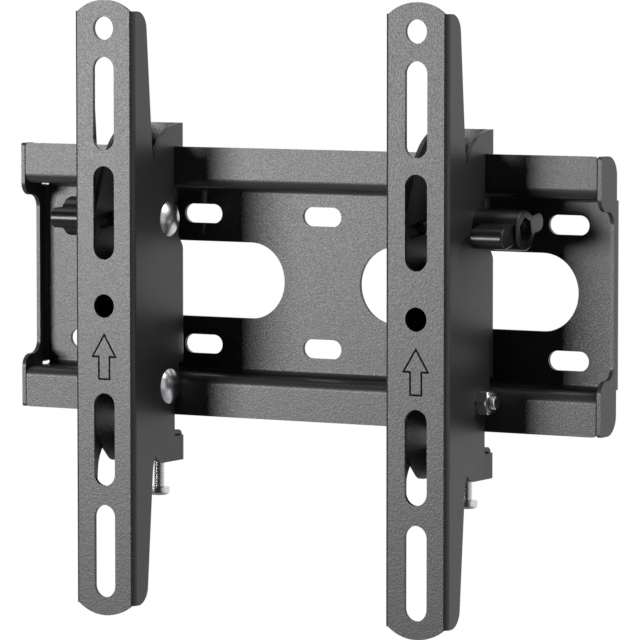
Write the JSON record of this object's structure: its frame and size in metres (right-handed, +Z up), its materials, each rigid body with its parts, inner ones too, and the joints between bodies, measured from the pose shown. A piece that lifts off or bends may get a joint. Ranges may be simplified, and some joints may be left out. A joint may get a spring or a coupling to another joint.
{
  "type": "tilting television wall mount",
  "caption": "Tilting wall mount for a small flat television: slotted steel wall plate, two slotted arms on hook brackets, with tilt knobs and safety screws.",
  "frame": {"origin": "centre of the wall plate's back face", "axes": "+X to the viewer's right along the plate, -Y out from the wall, +Z up"},
  "size_m": [0.24, 0.048, 0.2224],
  "materials": {
    "powder_coat": "fine-textured black powder coat",
    "zinc": "bright zinc plating",
    "nylon": "natural nylon",
    "knob_plastic": "satin moulded black"
  },
  "bodies": {
    "plate": {"wall_plate": "powder_coat"},
    "left_bracket": {"left_hook_bracket": "powder_coat"},
    "left_tilting_arm": {"left_arm": "powder_coat", "left_pivot_bolt": "zinc", "left_pivot_nut": "zinc", "left_nut_insert": "nylon", "left_clamp_bolt": "zinc"},
    "left_knob": {"left_tension_knob": "knob_plastic", "left_knob_nut": "zinc"},
    "left_screw": {"left_safety_screw": "zinc"},
    "right_bracket": {"right_hook_bracket": "powder_coat"},
    "right_tilting_arm": {"right_arm": "powder_coat", "right_pivot_bolt": "zinc", "right_pivot_nut": "zinc", "right_nut_insert": "nylon", "right_clamp_bolt": "zinc"},
    "right_knob": {"right_tension_knob": "knob_plastic", "right_knob_nut": "zinc"},
    "right_screw": {"right_safety_screw": "zinc"}
  },
  "joints": [
    {"name": "left_bracket_slide", "type": "slide", "parent": "plate", "child": "left_bracket", "axis": [1, 0, 0], "range_m": [-0.02, 0.047]},
    {"name": "left_tilt", "type": "hinge", "parent": "left_bracket", "child": "left_tilting_arm", "pos_m": [-0.064, -0.023, -0.038], "axis": [1, 0, 0], "range_deg": [0, 10]},
    {"name": "left_knob_turn", "type": "hinge", "parent": "left_tilting_arm", "child": "left_knob", "pos_m": [-0.0855, -0.023, 0.023], "axis": [1, 0, 0], "range_deg": [-100, 32]},
    {"name": "left_screw_travel", "type": "slide", "parent": "left_bracket", "child": "left_screw", "axis": [0, 0, 1], "range_m": [0, 0.0104]},
    {"name": "right_bracket_slide", "type": "slide", "parent": "plate", "child": "right_bracket", "axis": [1, 0, 0], "range_m": [-0.047, 0.02]},
    {"name": "right_tilt", "type": "hinge", "parent": "right_bracket", "child": "right_tilting_arm", "pos_m": [0.064, -0.023, -0.038], "axis": [1, 0, 0], "range_deg": [0, 10]},
    {"name": "right_knob_turn", "type": "hinge", "parent": "right_tilting_arm", "child": "right_knob", "pos_m": [0.0855, -0.023, 0.023], "axis": [1, 0, 0], "range_deg": [-111, 21]},
    {"name": "right_screw_travel", "type": "slide", "parent": "right_bracket", "child": "right_screw", "axis": [0, 0, 1], "range_m": [0, 0.0082]}
  ]
}
